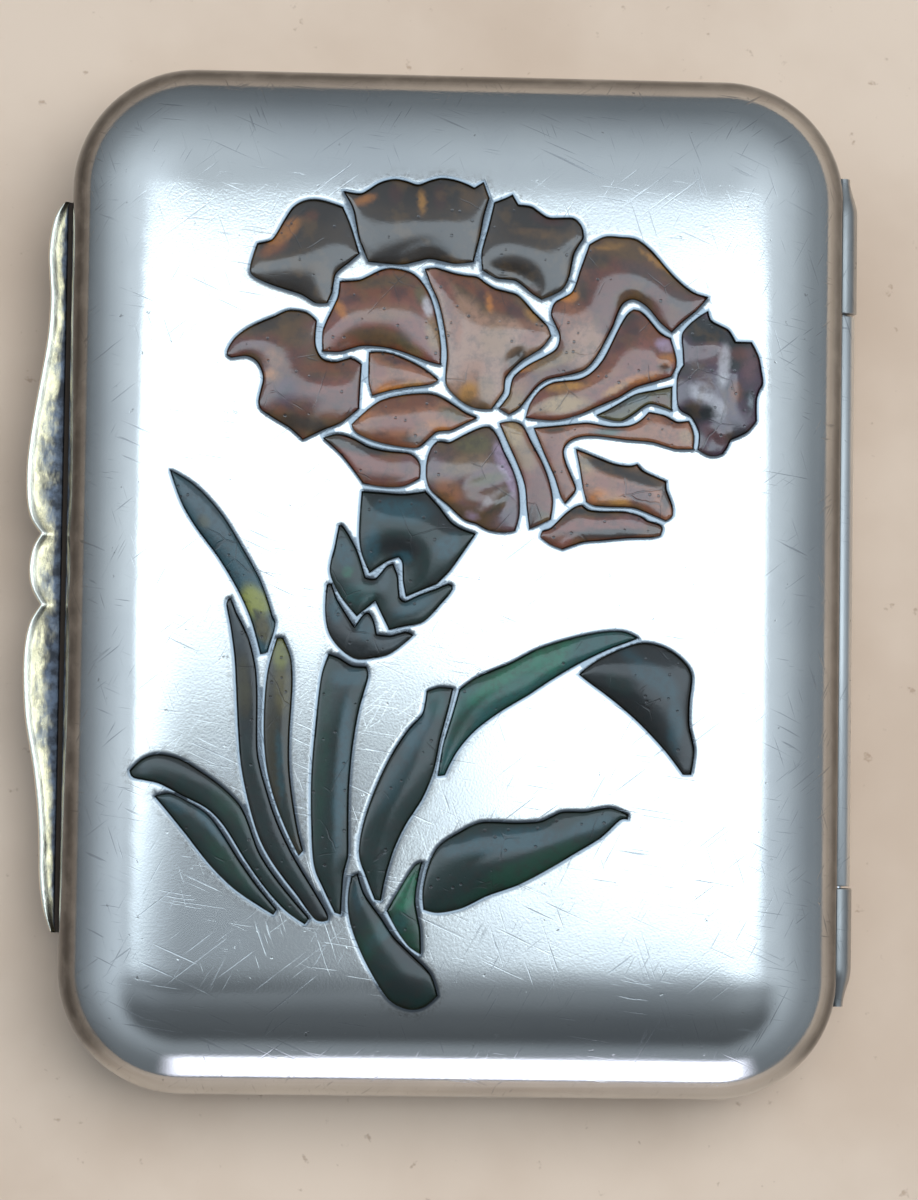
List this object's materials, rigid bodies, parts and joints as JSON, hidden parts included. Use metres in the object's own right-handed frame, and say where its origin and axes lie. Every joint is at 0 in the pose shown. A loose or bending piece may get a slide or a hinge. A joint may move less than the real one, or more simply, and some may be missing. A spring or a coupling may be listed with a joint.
{
  "type": "needle case",
  "caption": "Small hinged silver case with an enamelled carnation on the lid, opening on flannel leaves that hold sewing needles.",
  "frame": {"origin": "centre of the flat underside", "axes": "+X towards the hinge, +Y towards the flower's head, +Z out of the lid"},
  "size_m": [0.0419, 0.0514, 0.0092],
  "materials": {
    "silver": "worn satin silver",
    "gilt": "worn gilding on silver",
    "petal_enamel": "translucent glossy enamel, amber to purple",
    "leaf_enamel": "translucent glossy enamel, dark green",
    "flannel": "fine wool flannel",
    "silk": "padded silk satin",
    "steel": "polished steel"
  },
  "bodies": {
    "base": {"base_shell": "silver", "base_bezel": "gilt", "thumb_piece": "gilt", "hinge_knuckle_top": "silver", "hinge_knuckle_bottom": "silver", "hinge_pin": "steel", "lining_card": "silk", "leaf_spine": "flannel", "spine_bar": "silver", "spine_rivets": "silver"},
    "lid": {"lid_shell": "silver", "hinge_knuckle_middle": "silver", "lid_lining": "silk", "petal_01": "petal_enamel", "petal_02": "petal_enamel", "petal_03": "petal_enamel", "petal_04": "petal_enamel", "petal_05": "petal_enamel", "petal_06": "petal_enamel", "petal_07": "petal_enamel", "petal_08": "petal_enamel", "petal_09": "petal_enamel", "petal_10": "petal_enamel", "petal_11": "petal_enamel", "petal_12": "petal_enamel", "petal_13": "petal_enamel", "petal_14": "petal_enamel", "petal_15": "petal_enamel", "petal_16": "petal_enamel", "petal_17": "petal_enamel", "petal_18": "petal_enamel", "calyx_1": "leaf_enamel", "calyx_2": "leaf_enamel", "calyx_3": "leaf_enamel", "stem": "leaf_enamel", "blade_01": "leaf_enamel", "blade_02": "leaf_enamel", "blade_03": "leaf_enamel", "blade_04": "leaf_enamel", "blade_05": "leaf_enamel", "blade_06": "leaf_enamel", "blade_07": "leaf_enamel", "blade_08": "leaf_enamel", "blade_09": "leaf_enamel", "blade_10": "leaf_enamel", "blade_11": "leaf_enamel"},
    "leaf_1": {"flannel_leaf_1": "flannel", "needle_11": "steel", "needle_12": "steel", "needle_13": "steel"},
    "leaf_2": {"flannel_leaf_2": "flannel", "needle_21": "steel", "needle_22": "steel", "needle_23": "steel"},
    "leaf_3": {"flannel_leaf_3": "flannel", "needle_31": "steel", "needle_32": "steel", "needle_33": "steel"}
  },
  "joints": [
    {"name": "lid_hinge", "type": "hinge", "parent": "base", "child": "lid", "pos_m": [0.0196, 0, 0.0046], "axis": [0, 1, 0], "range_deg": [0, 170]},
    {"name": "leaf_1_turn", "type": "hinge", "parent": "base", "child": "leaf_1", "pos_m": [0.013, 0, 0.0021], "axis": [0, 1, 0], "range_deg": [0, 30]},
    {"name": "leaf_2_turn", "type": "hinge", "parent": "base", "child": "leaf_2", "pos_m": [0.013, 0, 0.0039], "axis": [0, 1, 0], "range_deg": [0, 60.1]},
    {"name": "leaf_3_turn", "type": "hinge", "parent": "base", "child": "leaf_3", "pos_m": [0.013, 0, 0.0057], "axis": [0, 1, 0], "range_deg": [0, 90]}
  ],
  "couplings": [
    {"joint": "leaf_1_turn", "follows": "lid_hinge", "ratio": 0.176},
    {"joint": "leaf_2_turn", "follows": "lid_hinge", "ratio": 0.353},
    {"joint": "leaf_3_turn", "follows": "lid_hinge", "ratio": 0.529}
  ]
}
